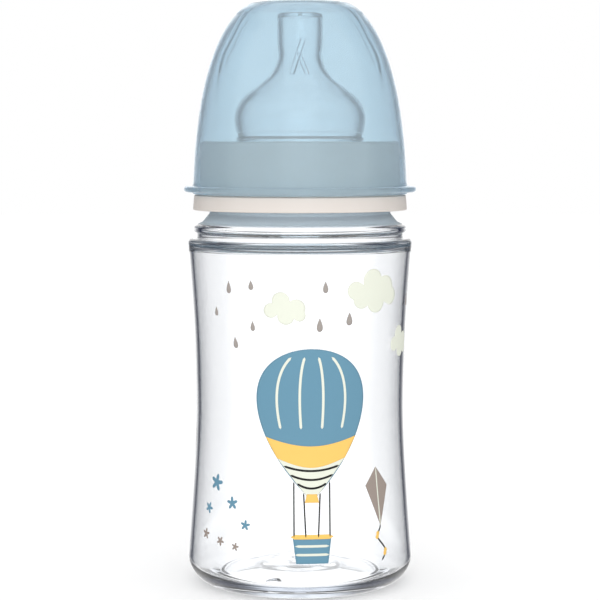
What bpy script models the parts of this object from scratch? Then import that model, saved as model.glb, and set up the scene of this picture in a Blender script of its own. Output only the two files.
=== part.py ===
"""Wide-neck baby bottle: a clear waisted bottle, a screw ring, a silicone teat and a push-on cap.

Frame: the bottle's axis is Z, its foot stands on z = 0, and the front is towards -Y. Sizes are in metres.
A turned outline is a list of (radius, height) points.
"""

import math

import bmesh
import bpy
from mathutils import Matrix

STEPS = 48  # flats in one turn of every turned piece
GAP = 0.0003  # free space between two pieces that touch

# Bottle body
FOOT_RADIUS = 0.0330  # widest, where the heel's round begins
HEEL_RADIUS = 0.0085  # round between the wall and the foot
WAIST_RADIUS = 0.03046
WAIST_HEIGHT = 0.0535
FOOT_SOFTNESS = 0.0165  # how far the waist's curve reaches downwards
SHOULDER_RADIUS = 0.03272
SHOULDER_HEIGHT = 0.1001
SHOULDER_SOFTNESS = 0.0450  # how far the waist's curve reaches upwards
SHOULDER_ROUND = 0.0014
BODY_WALL = 0.0012

# Bottle base
CONTACT_WIDTH = 0.0018  # flat ring that the bottle stands on
PUNT_STEP = 0.0010
PUNT_HEIGHT = 0.0040  # how far the middle of the base is pushed up
BASE_WALL = 0.0032  # a moulded bottle is thickest in its base
INNER_HEEL_RADIUS = 0.0050  # round between the inner wall and the inner floor

# Bottle neck, from the shoulder up: groove, bead, cone and threaded neck
GROOVE_DEPTH = 0.0026  # below the shoulder's radius
GROOVE_HEIGHT = 0.0014
BEAD_SIZE = 0.0009  # how far the bead stands out of the groove
BEAD_HEIGHT = 0.0034
CONE_HEIGHT = 0.0024
CONE_STEP = 0.46  # share of the cone's height and width taken by the flatter run above the bead
NECK_RADIUS = 0.0264
NECK_WALL = 0.0019
NECK_HEIGHT = 0.0166  # from the cone's top to the rim
RIM_ROUND = 0.0005

# Screw thread, shared by the neck and the ring
THREAD_LEAD = 0.0045  # rise in one turn
THREAD_DEPTH = 0.0011
THREAD_ROOT_WIDTH = 0.0020
THREAD_CREST_WIDTH = 0.0010
THREAD_ABOVE_CONE = 0.0050  # first turn's centre above the cone's top
NECK_THREAD_TURNS = 1.5
RING_THREAD_TURNS = 1.25
RING_THREAD_START = 60.0  # degrees after the neck thread's start
THREAD_RUNOUT = 24.0  # degrees over which a thread's end fades away
THREAD_STEP = 6.0  # degrees between two thread sections
THREAD_BURIED = 0.0006  # how far a thread's root reaches into its wall

# Teat
FLANGE_THICKNESS = 0.0020
TEAT_HOLD_RADIUS = 0.0181  # where it passes through the ring
TEAT_WALL = 0.0011
TEAT_HEIGHT = 0.0374  # above the ring
BULB_RADIUS = 0.0191
NIPPLE_RADIUS = 0.0066
NIPPLE_WAIST_RADIUS = 0.0063
FEED_HOLE_RADIUS = 0.0004
VENT_RADIUS = 0.0006

# Screw ring
RING_WALL = 0.0012
RING_WEB = 0.0016  # thickness of its top
RING_BELOW_NECK = 0.0010  # from the cone's top up to the ring's lower edge
RING_BAND_HEIGHT = 0.0043  # the wider band below the cap
RING_BAND_INSET = 0.0004  # inside the cap's outer surface
RING_BAND_DRAFT = 0.00035
RING_DRAFT = 0.0004

# Cap
CAP_WALL = 0.0012
CAP_DRAFT = 0.0326  # narrowing per unit of height, before the dome
CAP_TIP_ROOM = 0.0019  # from the teat's tip to the cap's ceiling
CAP_CROWN_RADIUS = 0.0105  # flat on top
LIP_WIDTH = 0.0026
LIP_THICKNESS = 0.0017
LIP_ABOVE_EDGE = 0.0006
DOME_DROOP = 2.15  # larger keeps the wall upright for longer
DOME_SHOULDER = 3.71  # larger makes the shoulder squarer
DOME_OVERSHOOT = 0.0012  # the full dome's apex above the flat crown

# Grip panel on each side of the cap, half widths at heights above the dome's start
PANEL_DEPTH = 0.0003
PANEL_HALF_WIDTHS = (
    (0.0006, 0.0090),
    (0.0080, 0.0092),
    (0.0130, 0.0150),
    (0.0170, 0.0165),
    (0.0250, 0.0153),
    (0.0360, 0.0124),
    (0.0430, 0.0122),
    (0.0500, 0.0095),
)

# Heights and radii that follow from the sizes above
GROOVE_RADIUS = SHOULDER_RADIUS - GROOVE_DEPTH
SHOULDER_TOP = SHOULDER_HEIGHT + SHOULDER_ROUND
BEAD_BOTTOM = SHOULDER_TOP + GROOVE_HEIGHT
CONE_BOTTOM = BEAD_BOTTOM + BEAD_HEIGHT - 0.5 * CONE_HEIGHT
CONE_TOP = CONE_BOTTOM + CONE_HEIGHT + 0.5 * CONE_HEIGHT
RIM_HEIGHT = CONE_TOP + NECK_HEIGHT
NECK_BORE = NECK_RADIUS - NECK_WALL
THREAD_START = CONE_TOP + THREAD_ABOVE_CONE
RING_BORE = NECK_RADIUS + THREAD_DEPTH + GAP
RING_OUTSIDE = RING_BORE + RING_WALL
RING_BOTTOM = CONE_TOP + RING_BELOW_NECK
FLANGE_BOTTOM = RIM_HEIGHT + GAP
FLANGE_TOP = FLANGE_BOTTOM + FLANGE_THICKNESS
RING_TOP = FLANGE_TOP + GAP + RING_WEB
TEAT_TOP = RING_TOP + TEAT_HEIGHT
CAP_TOP = TEAT_TOP + CAP_TIP_ROOM + CAP_WALL
CAP_BOTTOM = RING_BOTTOM + RING_BAND_HEIGHT + GAP
DOME_START = CAP_BOTTOM + LIP_ABOVE_EDGE + LIP_THICKNESS
DOME_APEX = CAP_TOP + DOME_OVERSHOOT


def new_collection(name):
    collection = bpy.data.collections.new(name)
    bpy.context.scene.collection.children.link(collection)
    return collection


def plastic(name, color, roughness, alpha=1.0):
    """A Principled material: colour, roughness and how much it covers."""
    material = bpy.data.materials.new(name)
    material.use_nodes = True
    shader = material.node_tree.nodes["Principled BSDF"]
    shader.inputs["Base Color"].default_value = (*color, 1.0)
    shader.inputs["Roughness"].default_value = roughness
    shader.inputs["Metallic"].default_value = 0.0
    shader.inputs["Alpha"].default_value = alpha
    return material


def arc(center, radius, start, end, count):
    """Points on a circle in the outline's plane, from one angle to another in degrees."""
    points = []
    for index in range(count + 1):
        angle = math.radians(start + (end - start) * index / count)
        points.append((center[0] + radius * math.cos(angle), center[1] + radius * math.sin(angle)))
    return points


def smooth_through(points, count):
    """A Catmull-Rom curve through the points, with count steps on each span."""
    ends = [points[0]] + list(points) + [points[-1]]
    curve = [points[0]]
    for before, start, end, after in zip(ends, ends[1:], ends[2:], ends[3:]):
        for index in range(1, count + 1):
            t = index / count
            weights = (
                0.5 * (-t + 2 * t * t - t**3),
                0.5 * (2 - 5 * t * t + 3 * t**3),
                0.5 * (t + 4 * t * t - 3 * t**3),
                0.5 * (-t * t + t**3),
            )
            stops = (before, start, end, after)
            curve.append(tuple(sum(w * p[axis] for w, p in zip(weights, stops)) for axis in (0, 1)))
    return curve


def turned(name, outline, collection, closed=False):
    """Sweeps an outline once round Z. A closed outline joins its last point to its first."""
    mesh = bpy.data.meshes.new(name)
    edges = [(index, index + 1) for index in range(len(outline) - 1)]
    if closed:
        edges.append((len(outline) - 1, 0))
    mesh.from_pydata([(radius, 0.0, height) for radius, height in outline], edges, [])
    piece = bpy.data.objects.new(name, mesh)
    collection.objects.link(piece)
    screw = piece.modifiers.new("turn", "SCREW")
    screw.steps = STEPS
    screw.render_steps = STEPS
    screw.use_merge_vertices = True
    screw.merge_threshold = 0.00001
    screw.use_smooth_shade = True
    return piece


def hide(cutter):
    cutter.hide_render = True
    cutter.display_type = "WIRE"
    return cutter


def combine(piece, operation, other):
    """Adds a Boolean modifier that joins, cuts or keeps the piece where the other one is."""
    boolean = piece.modifiers.new(operation.lower() + "_" + other.name, "BOOLEAN")
    boolean.operation = operation
    boolean.object = other
    boolean.solver = "EXACT"


def body_radius(height):
    """The waisted wall: a hyperbola whose arms reach the foot below and the shoulder above."""
    if height < WAIST_HEIGHT:
        reach, flare, soft = WAIST_HEIGHT - HEEL_RADIUS, FOOT_RADIUS - WAIST_RADIUS, FOOT_SOFTNESS
    else:
        reach, flare, soft = SHOULDER_HEIGHT - WAIST_HEIGHT, SHOULDER_RADIUS - WAIST_RADIUS, SHOULDER_SOFTNESS
    slope = flare / (math.hypot(reach, soft) - soft)
    return WAIST_RADIUS + slope * (math.hypot(height - WAIST_HEIGHT, soft) - soft)


def body_wall(inset, low, high, count):
    """Points up the waisted wall between two heights, moved in by the inset."""
    heights = [low + (high - low) * index / count for index in range(count + 1)]
    return [(body_radius(height) - inset, height) for height in heights]


def bottle_outside():
    """From the foot's centre up to the rim, in the order that runs up the outside."""
    heel_center = (FOOT_RADIUS - HEEL_RADIUS, HEEL_RADIUS)
    punt_edge = heel_center[0] - CONTACT_WIDTH
    base = [
        (0.0, PUNT_HEIGHT),
        (0.5 * punt_edge, PUNT_STEP + 0.75 * (PUNT_HEIGHT - PUNT_STEP)),
        (punt_edge - PUNT_STEP, PUNT_STEP),
        (punt_edge, 0.0),
    ]
    heel = arc(heel_center, HEEL_RADIUS, -90.0, 0.0, 6)
    wall = body_wall(0.0, HEEL_RADIUS, SHOULDER_HEIGHT, 12)[1:]
    shoulder = arc((SHOULDER_RADIUS - SHOULDER_ROUND, SHOULDER_HEIGHT), SHOULDER_ROUND, 0.0, 90.0, 3)[1:]
    bead_radius = GROOVE_RADIUS + BEAD_SIZE
    groove_and_bead = [
        (GROOVE_RADIUS, SHOULDER_TOP),
        (GROOVE_RADIUS, BEAD_BOTTOM),
        (bead_radius, BEAD_BOTTOM + 0.4 * (CONE_BOTTOM - BEAD_BOTTOM)),
        (bead_radius, CONE_BOTTOM),
    ]
    neck = [
        (NECK_RADIUS + CONE_STEP * (bead_radius - NECK_RADIUS), CONE_BOTTOM + CONE_STEP * CONE_HEIGHT),
        (NECK_RADIUS, CONE_TOP),
        (NECK_RADIUS, RIM_HEIGHT - RIM_ROUND),
        (NECK_RADIUS - RIM_ROUND, RIM_HEIGHT),
    ]
    return base + heel + wall + shoulder + groove_and_bead + neck


def bottle_inside():
    """From the rim down to the inner floor's centre."""
    top = SHOULDER_TOP - BODY_WALL
    neck = [
        (NECK_BORE + RIM_ROUND, RIM_HEIGHT),
        (NECK_BORE, RIM_HEIGHT - RIM_ROUND),
        (NECK_BORE, CONE_TOP - 0.5 * NECK_WALL),
        (GROOVE_RADIUS - BODY_WALL, CONE_BOTTOM),
        (GROOVE_RADIUS - BODY_WALL, top),
    ]
    heel_top = BASE_WALL + INNER_HEEL_RADIUS
    floor_radius = body_radius(heel_top) - BODY_WALL - INNER_HEEL_RADIUS
    wall = body_wall(BODY_WALL, heel_top, top - BODY_WALL, 10)[::-1]
    heel = arc((floor_radius, heel_top), INNER_HEEL_RADIUS, 0.0, -90.0, 5)[1:]
    floor = [
        (0.5 * floor_radius, BASE_WALL + PUNT_STEP + 0.6 * (PUNT_HEIGHT - PUNT_STEP)),
        (0.0, BASE_WALL + PUNT_HEIGHT),
    ]
    return neck + wall + heel + floor


def thread_section(root, crest, fade):
    """The four corners of a thread ridge's cut face, as (radius, height) about its centre line."""
    crest_now = root + (crest - root) * (0.45 + 0.55 * fade)
    half_root = 0.5 * THREAD_ROOT_WIDTH * (0.5 + 0.5 * fade)
    half_crest = 0.5 * THREAD_CREST_WIDTH * (0.5 + 0.5 * fade)
    return ((root, -half_root), (crest_now, -half_crest), (crest_now, half_crest), (root, half_root))


def thread_ridge(name, root, crest, first_height, first_angle, turns, collection):
    """A thread's ridge: a section carried up a right-hand helix round Z, fading out at both ends."""
    count = round(360.0 * turns / THREAD_STEP)
    shape = bmesh.new()
    rings = []
    for index in range(count + 1):
        along = index * THREAD_STEP
        fade = min(1.0, along / THREAD_RUNOUT, (count * THREAD_STEP - along) / THREAD_RUNOUT)
        angle = math.radians(first_angle + along)
        height = first_height + THREAD_LEAD * (first_angle + along) / 360.0
        ring = []
        for radius, offset in thread_section(root, crest, fade):
            ring.append(shape.verts.new((radius * math.cos(angle), radius * math.sin(angle), height + offset)))
        rings.append(ring)
    for low, high in zip(rings, rings[1:]):
        for side in range(4):
            after = (side + 1) % 4
            shape.faces.new((low[side], low[after], high[after], high[side]))
    shape.faces.new(rings[0])
    shape.faces.new(rings[-1])
    bmesh.ops.recalc_face_normals(shape, faces=shape.faces)
    mesh = bpy.data.meshes.new(name)
    shape.to_mesh(mesh)
    shape.free()
    ridge = bpy.data.objects.new(name, mesh)
    collection.objects.link(ridge)
    return hide(ridge)


def make_bottle(parts, cutters):
    """Clear blow-moulded bottle with a raised base, a waisted body and a threaded neck."""
    outline = bottle_inside()[::-1] + bottle_outside()[::-1]
    bottle = turned("bottle", outline, parts)
    root = NECK_RADIUS - THREAD_BURIED
    crest = NECK_RADIUS + THREAD_DEPTH
    ridge = thread_ridge("neck_thread", root, crest, THREAD_START, 0.0, NECK_THREAD_TURNS, cutters)
    combine(bottle, "UNION", ridge)
    bottle.data.materials.append(plastic("clear_plastic", (0.90, 0.93, 0.96), 0.06, 0.35))
    return bottle


def make_screw_ring(parts, cutters):
    """Collar that screws onto the neck and clamps the teat's flange on the rim."""
    hole = TEAT_HOLD_RADIUS + GAP
    edge = 0.0006
    band_top = RING_BOTTOM + RING_BAND_HEIGHT
    band_radius = cap_radius(DOME_START) - RING_BAND_INSET
    outline = [
        (hole, RING_TOP),
        (RING_OUTSIDE - edge, RING_TOP),
        (RING_OUTSIDE, RING_TOP - edge),
        (RING_OUTSIDE + RING_DRAFT, band_top),
        (band_radius - 0.5 * edge, band_top),
        (band_radius, band_top - 0.5 * edge),
        (band_radius + RING_BAND_DRAFT, RING_BOTTOM + 0.5 * edge),
        (band_radius + RING_BAND_DRAFT - 0.5 * edge, RING_BOTTOM),
        (RING_BORE + 0.5 * edge, RING_BOTTOM),
        (RING_BORE, RING_BOTTOM + 0.5 * edge),
        (RING_BORE, RING_TOP - RING_WEB),
        (hole, RING_TOP - RING_WEB),
    ]
    ring = turned("screw_ring", outline, parts, closed=True)
    root = RING_BORE + THREAD_BURIED
    crest = RING_BORE - THREAD_DEPTH
    height = THREAD_START - 0.5 * THREAD_LEAD
    ridge = thread_ridge("ring_thread", root, crest, height, RING_THREAD_START, RING_THREAD_TURNS, cutters)
    combine(ring, "UNION", ridge)
    ring.data.materials.append(plastic("ivory_plastic", (0.83, 0.79, 0.76), 0.35))
    return ring


def teat_outside():
    """From the nipple's rounded tip down to the ring."""
    tip_round = 0.0008
    tip = arc((NIPPLE_RADIUS - tip_round, TEAT_TOP - tip_round), tip_round, 90.0, 0.0, 3)
    slope = smooth_through(
        [
            (NIPPLE_RADIUS, TEAT_TOP - 0.0050),
            (NIPPLE_WAIST_RADIUS, TEAT_TOP - 0.0126),
            (NIPPLE_WAIST_RADIUS + 0.0028, TEAT_TOP - 0.0186),
            (0.65 * BULB_RADIUS, TEAT_TOP - 0.0214),
            (0.94 * BULB_RADIUS, TEAT_TOP - 0.0266),
            (BULB_RADIUS, TEAT_TOP - 0.0306),
            (0.5 * (BULB_RADIUS + TEAT_HOLD_RADIUS), RING_TOP + 0.0030),
            (TEAT_HOLD_RADIUS, RING_TOP + GAP),
        ],
        2,
    )
    return tip + slope


def make_teat(parts, cutters):
    """One-piece silicone teat: nipple, bulb, neck through the ring, and a clamped flange with an air vent."""
    flange_radius = NECK_RADIUS - RIM_ROUND
    flange = [
        (TEAT_HOLD_RADIUS, FLANGE_TOP),
        (flange_radius, FLANGE_TOP),
        (flange_radius, FLANGE_BOTTOM),
        (TEAT_HOLD_RADIUS - TEAT_WALL, FLANGE_BOTTOM),
    ]
    outside = teat_outside()
    inside = [(radius - TEAT_WALL, height) for radius, height in outside[4:-1]][::-1]
    ceiling = TEAT_TOP - TEAT_WALL
    tip = [
        (NIPPLE_RADIUS - TEAT_WALL, ceiling - 0.0006),
        (NIPPLE_RADIUS - TEAT_WALL - 0.0006, ceiling),
        (FEED_HOLE_RADIUS, ceiling),
    ]
    outline = [(FEED_HOLE_RADIUS, TEAT_TOP)] + outside + flange + inside + tip
    teat = turned("teat", outline, parts, closed=True)
    vent_place = 0.5 * (TEAT_HOLD_RADIUS + NECK_BORE)
    middle = (0.0, vent_place, 0.5 * (FLANGE_TOP + FLANGE_BOTTOM))
    bpy.ops.mesh.primitive_cylinder_add(
        vertices=12, radius=VENT_RADIUS, depth=2 * FLANGE_THICKNESS, location=middle
    )
    vent = bpy.context.object
    vent.name = "air_vent"
    move_to(vent, cutters)
    combine(teat, "DIFFERENCE", hide(vent))
    teat.data.materials.append(plastic("clear_silicone", (0.88, 0.91, 0.93), 0.20, 0.45))
    return teat


def move_to(piece, collection):
    for old in list(piece.users_collection):
        old.objects.unlink(piece)
    collection.objects.link(piece)


def dome_factor(height, apex):
    """How much of its full radius a dome keeps at a height: 1 at its start and 0 at its apex."""
    part_way = min(1.0, max(0.0, (height - DOME_START) / (apex - DOME_START)))
    return (1.0 - part_way**DOME_DROOP) ** (1.0 / DOME_SHOULDER)


def cap_radius(height, inset=0.0):
    """The cap's radius at a height, moved in by the inset. Its wall just clears the ring's top."""
    inside = (RING_OUTSIDE + GAP) / dome_factor(RING_TOP, DOME_APEX - CAP_WALL)
    base = inside + CAP_WALL + CAP_DRAFT * (RING_TOP - DOME_START)
    straight = base - CAP_DRAFT * max(0.0, height - DOME_START)
    return (straight - inset) * dome_factor(height, DOME_APEX - inset)


def dome_outline(inset, count):
    """From the flat crown's centre down the dome to its start, moved in by the inset."""
    top = CAP_TOP - inset
    span = top - DOME_START
    corner = top - 0.010 * span
    points = [(0.0, top), (CAP_CROWN_RADIUS, top)]
    for index in range(count + 1):
        height = DOME_START + (corner - DOME_START) * math.cos(0.5 * math.pi * index / count)
        points.append((cap_radius(height, inset), height))
    return points


def panel_prism(cutters):
    """A bar along X with the grip panels' outline."""
    side = smooth_through([(half, DOME_START + height) for height, half in PANEL_HALF_WIDTHS], 3)
    outline = side + [(-half, height) for half, height in reversed(side)]
    curve = bpy.data.curves.new("panel_outline", "CURVE")
    curve.dimensions = "2D"
    curve.fill_mode = "BOTH"
    curve.extrude = 2.0 * cap_radius(DOME_START)
    spline = curve.splines.new("POLY")
    spline.points.add(len(outline) - 1)
    for point, (across, up) in zip(spline.points, outline):
        point.co = (across, up, 0.0, 1.0)
    spline.use_cyclic_u = True
    drawn = bpy.data.objects.new("panel_outline", curve)
    drawn.matrix_world = Matrix(((0, 0, 1, 0), (1, 0, 0, 0), (0, 1, 0, 0), (0, 0, 0, 1)))
    cutters.objects.link(drawn)
    bpy.context.view_layer.update()
    graph = bpy.context.evaluated_depsgraph_get()
    mesh = bpy.data.meshes.new_from_object(drawn.evaluated_get(graph))
    shape = bmesh.new()
    shape.from_mesh(mesh)
    bmesh.ops.remove_doubles(shape, verts=shape.verts, dist=0.000001)
    shape.to_mesh(mesh)
    shape.free()
    prism = bpy.data.objects.new("panel_prism", mesh)
    prism.matrix_world = drawn.matrix_world
    cutters.objects.link(prism)
    bpy.data.objects.remove(drawn)
    return hide(prism)


def make_cap(parts, cutters):
    """Push-on dome with a lip round its lower edge and a shallow grip panel on each side."""
    base = cap_radius(DOME_START)
    lip_bottom = CAP_BOTTOM + LIP_ABOVE_EDGE
    lip_middle = lip_bottom + 0.5 * LIP_THICKNESS
    lip = arc((base + LIP_WIDTH - 0.5 * LIP_THICKNESS, lip_middle), 0.5 * LIP_THICKNESS, 90.0, -90.0, 4)
    edge = [(base, lip_bottom), (base, CAP_BOTTOM), (base - CAP_WALL, CAP_BOTTOM)]
    outside = dome_outline(0.0, 13)
    inside = dome_outline(CAP_WALL, 10)[::-1]
    cap = turned("cap", outside + lip + edge + inside, parts)
    shell = outside[2:]
    grown = [(radius + 2 * CAP_WALL, height) for radius, height in shell]
    sunk = [(radius - PANEL_DEPTH, height) for radius, height in shell][::-1]
    panels = turned("grip_panels", grown + sunk, cutters, closed=True)
    combine(panels, "INTERSECT", panel_prism(cutters))
    combine(cap, "DIFFERENCE", hide(panels))
    cap.data.materials.append(plastic("blue_plastic", (0.52, 0.70, 0.80), 0.10, 0.55))
    return cap


def main():
    for piece in list(bpy.data.objects):
        bpy.data.objects.remove(piece)
    parts = new_collection("baby_bottle")
    cutters = new_collection("cutters")
    make_bottle(parts, cutters)
    make_teat(parts, cutters)
    make_screw_ring(parts, cutters)
    make_cap(parts, cutters)


main()
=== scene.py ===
# %% [markdown]
# # A feeding bottle in Blender
# The bottle has four real pieces: a clear bottle, a soft teat, a screw ring and a dome cap.
# Each one is a turned shape, so each starts as an outline that is carried once round the axis.
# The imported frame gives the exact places, and this script makes the fine surfaces and the finishes.

# %% Load the frame
import math

import bpy
import numpy as np
from mathutils import Euler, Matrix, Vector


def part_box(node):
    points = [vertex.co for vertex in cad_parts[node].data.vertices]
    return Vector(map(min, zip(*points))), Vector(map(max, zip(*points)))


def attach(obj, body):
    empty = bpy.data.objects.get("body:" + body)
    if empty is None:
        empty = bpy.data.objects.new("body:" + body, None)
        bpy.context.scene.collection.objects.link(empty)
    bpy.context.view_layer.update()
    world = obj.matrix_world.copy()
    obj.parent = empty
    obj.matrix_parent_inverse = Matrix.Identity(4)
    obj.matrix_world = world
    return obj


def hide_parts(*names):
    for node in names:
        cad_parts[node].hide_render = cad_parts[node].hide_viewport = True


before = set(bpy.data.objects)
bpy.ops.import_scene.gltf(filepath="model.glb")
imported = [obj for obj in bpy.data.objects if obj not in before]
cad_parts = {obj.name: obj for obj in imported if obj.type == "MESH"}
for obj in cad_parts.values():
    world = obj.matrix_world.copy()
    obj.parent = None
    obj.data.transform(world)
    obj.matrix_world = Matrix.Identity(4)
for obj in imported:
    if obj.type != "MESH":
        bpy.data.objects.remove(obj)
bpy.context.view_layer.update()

MM = 0.001

# %% [markdown]
# ## Heights and radii
# The pieces fit each other, so they share one short list of sizes.
# The heights come from the frame's boxes. The walls, rounds and clearances are written once, in
# millimetres.

# %% Sizes from the frame
BOTTLE_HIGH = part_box("bottle")[1]
TEAT_LOW, TEAT_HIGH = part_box("teat")
RING_LOW, RING_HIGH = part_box("screw_ring")
CAP_LOW, CAP_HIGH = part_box("cap")
RIM = BOTTLE_HIGH.z
FOOT_RADIUS = 33.0 * MM
HEEL_ROUND = 8.5 * MM
WAIST_RADIUS = 30.46 * MM
WAIST_HEIGHT = 53.5 * MM
FOOT_SOFTNESS = 16.5 * MM
SHOULDER_RADIUS = 32.72 * MM
SHOULDER_HEIGHT = 100.1 * MM
SHOULDER_SOFTNESS = 45.0 * MM
BODY_WALL = 1.2 * MM
NECK_RADIUS = 26.4 * MM
NECK_BORE = 24.5 * MM
CONE_TOP = RIM - 16.6 * MM
CONE_BOTTOM = CONE_TOP - 3.6 * MM
print("rim at", round(RIM / MM, 2), "mm, cap's top at", round(CAP_HIGH.z / MM, 2), "mm")

# %% [markdown]
# ## Outlines
# A turned piece is drawn as a few corners, and a mould rounds each of them.
# So an outline here is a list of corners, each with its own rounding, and a function puts the arcs in.
# Long runs also get a point close to each arc, which keeps the smooth shading from spreading.


# %% Rounded outlines
def rounded(corners, step=1.6 * MM, support=0.12 * MM):
    """Straight runs joined by arcs. A corner is (radius, height, rounding): the arc touches both of its
    runs, so it starts at rounding / tan(half the corner's angle) from the corner."""
    spots = np.array([corner[:2] for corner in corners], float)
    path = [spots[:1]]
    for index in range(1, len(corners)):
        spot = spots[index]
        rounding = corners[index][2] if len(corners[index]) > 2 else 0.0
        arc = spot[None]
        if rounding > 0.0 and index + 1 < len(corners):
            back = spots[index - 1] - spot
            ahead = spots[index + 1] - spot
            lengths = np.linalg.norm(back), np.linalg.norm(ahead)
            back, ahead = back / lengths[0], ahead / lengths[1]
            half = 0.5 * math.acos(np.clip(back @ ahead, -1.0, 1.0))
            reach = min(rounding / math.tan(half), 0.48 * lengths[0], 0.48 * lengths[1])
            size = reach * math.tan(half)
            middle = spot + (back + ahead) / np.linalg.norm(back + ahead) * size / math.sin(half)
            count = max(3, round((math.pi - 2 * half) / math.radians(13)))
            share = np.linspace(0.0, 1.0, count + 1)[:, None]
            start, end = spot + back * reach - middle, spot + ahead * reach - middle
            turn = math.pi - 2 * half
            swept = np.sin((1 - share) * turn) * start + np.sin(share * turn) * end
            arc = middle + swept / math.sin(turn)
        path.append(run_between(path[-1][-1], arc[0], step, support))
        path.append(arc)
    points = np.concatenate(path)
    keep = np.append(True, np.linalg.norm(np.diff(points, axis=0), axis=1) > 1e-7)
    return points[keep]


def run_between(start, end, step, support):
    """Points inside a straight run: one close to each end of a long run, and even steps between them."""
    length = np.linalg.norm(end - start)
    count = int(length / step)
    shares = np.arange(1, count + 1) / (count + 1)
    if length > 20 * support:
        shares = np.concatenate([[support / length], shares, [1 - support / length]])
    return start + np.sort(shares)[:, None] * (end - start)


def smooth_through(points, count):
    """A Catmull-Rom curve: each span is the cubic that passes its two points with the slope of their
    neighbours."""
    spots = np.array(points, float)
    ends = np.concatenate([spots[:1], spots, spots[-1:]])
    t = (np.arange(count) / count)[None, :, None]
    before, start, after, last = (ends[k : len(ends) - 3 + k, None] for k in range(4))
    curve = 0.5 * (
        2 * start
        + t * (after - before)
        + t**2 * (2 * before - 5 * start + 4 * after - last)
        + t**3 * (3 * start - before - 3 * after + last)
    )
    return np.concatenate([curve.reshape(-1, 2), spots[-1:]])


def moved_in(path, wall):
    """The same path moved sideways by a wall's thickness, along each point's own normal."""
    along = np.gradient(path, axis=0)
    normal = np.stack([-along[:, 1], along[:, 0]], axis=1)
    normal /= np.linalg.norm(normal, axis=1, keepdims=True)
    return path - normal * np.reshape(wall, (-1, 1))


def blend(value, low, high):
    """0 below low, 1 above high, and a smooth step between: 3t^2 - 2t^3."""
    t = np.clip((value - low) / (high - low), 0.0, 1.0)
    return t * t * (3.0 - 2.0 * t)


square_corner = [(0, 0), (10 * MM, 0, 2 * MM), (10 * MM, 10 * MM)]
print("a square corner, rounded:", len(rounded(square_corner)), "points")

# %% [markdown]
# ## From an outline to a mesh
# Blender's Screw modifier could turn each outline, but a thread or a pressed-in panel breaks the roundness.
# A grid of points, rows along the outline and columns round the axis, can be pushed in and out freely.
# The same grid makes anything that closes on itself, so the printed shapes use it too.


# %% Grids into meshes
def turned(outline, columns):
    """Each outline point goes once round Z: radius, angle and height on a (rows, columns) grid."""
    angle = np.linspace(0.0, 2 * math.pi, columns, endpoint=False)
    radius = np.repeat(outline[:, :1], columns, axis=1)
    height = np.repeat(outline[:, 1:], columns, axis=1)
    return radius, np.broadcast_to(angle, radius.shape).copy(), height


def placed(radius, angle, height):
    """Points from such a grid: (radius cos a, radius sin a, height)."""
    return np.stack([radius * np.cos(angle), radius * np.sin(angle), height], axis=-1)


def grid_faces(rows, columns, ring_of_rows):
    """Quads between neighbours. Columns always close on themselves, rows only on a ring-shaped piece."""
    row = np.arange(rows if ring_of_rows else rows - 1)[:, None]
    column = np.arange(columns)[None, :]
    below, beside = (row + 1) % rows, (column + 1) % columns
    here, under = row * columns, below * columns
    corners = (here + column, under + column, under + beside, here + beside)
    return np.stack(np.broadcast_arrays(*corners), axis=-1).reshape(-1, 4)


def fan_faces(ring_start, columns, pole, flipped):
    """Triangles from one ring of points to a single pole point."""
    column = np.arange(columns)
    here, beside = ring_start + column, ring_start + (column + 1) % columns
    order = (beside, here) if flipped else (here, beside)
    return np.stack([*order, np.full(columns, pole)], axis=-1)


def solid(grids, ring_of_rows=False):
    """Points and faces of closed solids, one for each (rows, columns, 3) grid. Unless the rows make a
    ring, the first and the last row of a grid are each gathered to their middle point, a pole."""
    points, quads, fans, start = [], [], [], 0
    for grid in grids:
        if ring_of_rows:
            body, poles = grid, np.zeros((0, 3))
        else:
            body, poles = grid[1:-1], grid[[0, -1]].mean(axis=1)
        rows, columns = body.shape[:2]
        points += [body.reshape(-1, 3), poles]
        quads.append(start + grid_faces(rows, columns, ring_of_rows))
        if not ring_of_rows:
            first_pole = start + rows * columns
            fans.append(fan_faces(start, columns, first_pole, False))
            fans.append(fan_faces(start + (rows - 1) * columns, columns, first_pole + 1, True))
        start += rows * columns + len(poles)
    faces = np.concatenate(quads).tolist()
    for fan in fans:
        faces += fan.tolist()
    return np.concatenate(points), faces


def volume(points, faces):
    """Signed volume: a sixth of the sum of corner . (corner x corner) over the triangles of each face."""
    total = 0.0
    for size in (3, 4):
        part = np.array([face for face in faces if len(face) == size])
        if len(part):
            first = points[part[:, 0]]
            for k in range(1, size - 1):
                second, third = points[part[:, k]], points[part[:, k + 1]]
                total += np.einsum("ij,ij->i", first, np.cross(second, third)).sum()
    return total / 6.0


def make_piece(name, grids, body, stands_for=None, ring_of_rows=False):
    """A smooth shaded mesh with its faces pointing out, riding on its body."""
    points, faces = solid(grids, ring_of_rows)
    if volume(points, faces) < 0.0:
        faces = [face[::-1] for face in faces]
    mesh = bpy.data.meshes.new(name)
    mesh.from_pydata(points.tolist(), [], faces)
    mesh.shade_smooth()
    piece = bpy.data.objects.new(name, mesh)
    bpy.context.scene.collection.objects.link(piece)
    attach(piece, body)
    if stands_for:
        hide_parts(stands_for)
    print(f"{name}: {len(points)} points, {volume(points, faces) * 1e6:.2f} ml of material")
    return piece


# %% [markdown]
# ## The bottle's body
# A real bottle like this is stretch-blown in a two-part mould, so its wall is thin and even and its
# base is thick. The waist is a hyperbola: straight arms towards foot and shoulder, and a soft bend
# between them. The outline runs from the inner floor up to the rim and down the outside, so that the
# mesh is one closed wall.


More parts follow.
